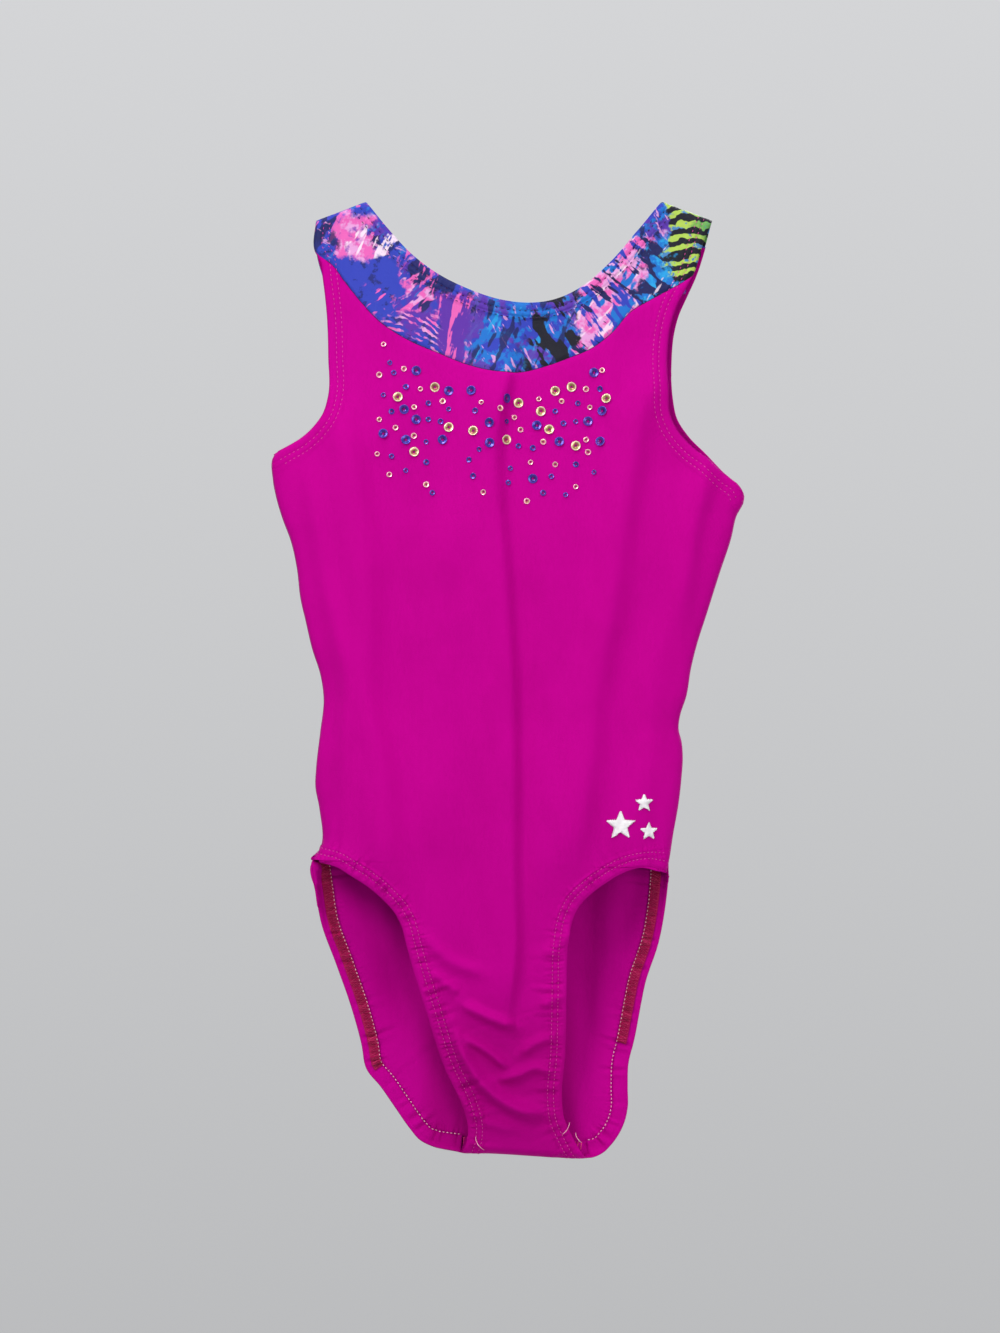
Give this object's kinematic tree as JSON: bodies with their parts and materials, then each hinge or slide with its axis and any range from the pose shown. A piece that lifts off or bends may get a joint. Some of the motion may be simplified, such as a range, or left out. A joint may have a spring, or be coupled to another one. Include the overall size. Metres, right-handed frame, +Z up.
{
  "type": "gymnastics leotard",
  "caption": "Sleeveless stretch gymnastics leotard with a printed yoke, elasticated neck, arm and leg openings, and a sequinned chest, hanging by its straps.",
  "frame": {"origin": "midway between the two straps, at the height where they rest on a hanger", "axes": "+Z up along the hanging garment, front faces -Y, +X to the right of someone looking at the front"},
  "size_m": [0.232, 0.0252, 0.4712],
  "materials": {
    "body_fabric": "magenta stretch knit, soft sheen",
    "print_fabric": "stretch knit with a blue, violet, pink and lime abstract print",
    "elastic": "matte covered elastic",
    "lining": "matte knit lining",
    "seam_thread": "overlocked thread",
    "gold_sequin": "pale gold foil",
    "blue_sequin": "blue-violet foil",
    "embroidery": "white satin-stitch thread"
  },
  "bodies": {
    "root": {"front_body_panel": "body_fabric", "back_body_panel": "body_fabric", "front_yoke": "print_fabric", "back_yoke": "print_fabric", "neck_elastic": "elastic", "left_arm_elastic": "elastic", "right_arm_elastic": "elastic", "left_leg_elastic": "elastic", "right_leg_elastic": "elastic", "left_side_seam": "seam_thread", "right_side_seam": "seam_thread", "left_shoulder_seam": "seam_thread", "right_shoulder_seam": "seam_thread", "front_yoke_seam": "seam_thread", "back_yoke_seam": "seam_thread", "crotch_seam": "seam_thread", "crotch_lining": "lining", "gold_sequin_1": "gold_sequin", "gold_sequin_2": "gold_sequin", "gold_sequin_3": "gold_sequin", "gold_sequin_4": "gold_sequin", "gold_sequin_5": "gold_sequin", "gold_sequin_6": "gold_sequin", "gold_sequin_7": "gold_sequin", "gold_sequin_8": "gold_sequin", "gold_sequin_9": "gold_sequin", "gold_sequin_10": "gold_sequin", "gold_sequin_11": "gold_sequin", "gold_sequin_12": "gold_sequin", "gold_sequin_13": "gold_sequin", "blue_sequin_1": "blue_sequin", "blue_sequin_2": "blue_sequin", "blue_sequin_3": "blue_sequin", "blue_sequin_4": "blue_sequin", "blue_sequin_5": "blue_sequin", "blue_sequin_6": "blue_sequin", "blue_sequin_7": "blue_sequin", "blue_sequin_8": "blue_sequin", "blue_sequin_9": "blue_sequin", "blue_sequin_10": "blue_sequin", "blue_sequin_11": "blue_sequin", "blue_sequin_12": "blue_sequin", "blue_sequin_13": "blue_sequin", "blue_sequin_14": "blue_sequin", "blue_sequin_15": "blue_sequin", "blue_sequin_16": "blue_sequin", "blue_sequin_17": "blue_sequin", "blue_sequin_18": "blue_sequin", "large_star": "embroidery", "upper_star": "embroidery", "lower_star": "embroidery"}
  },
  "joints": []
}
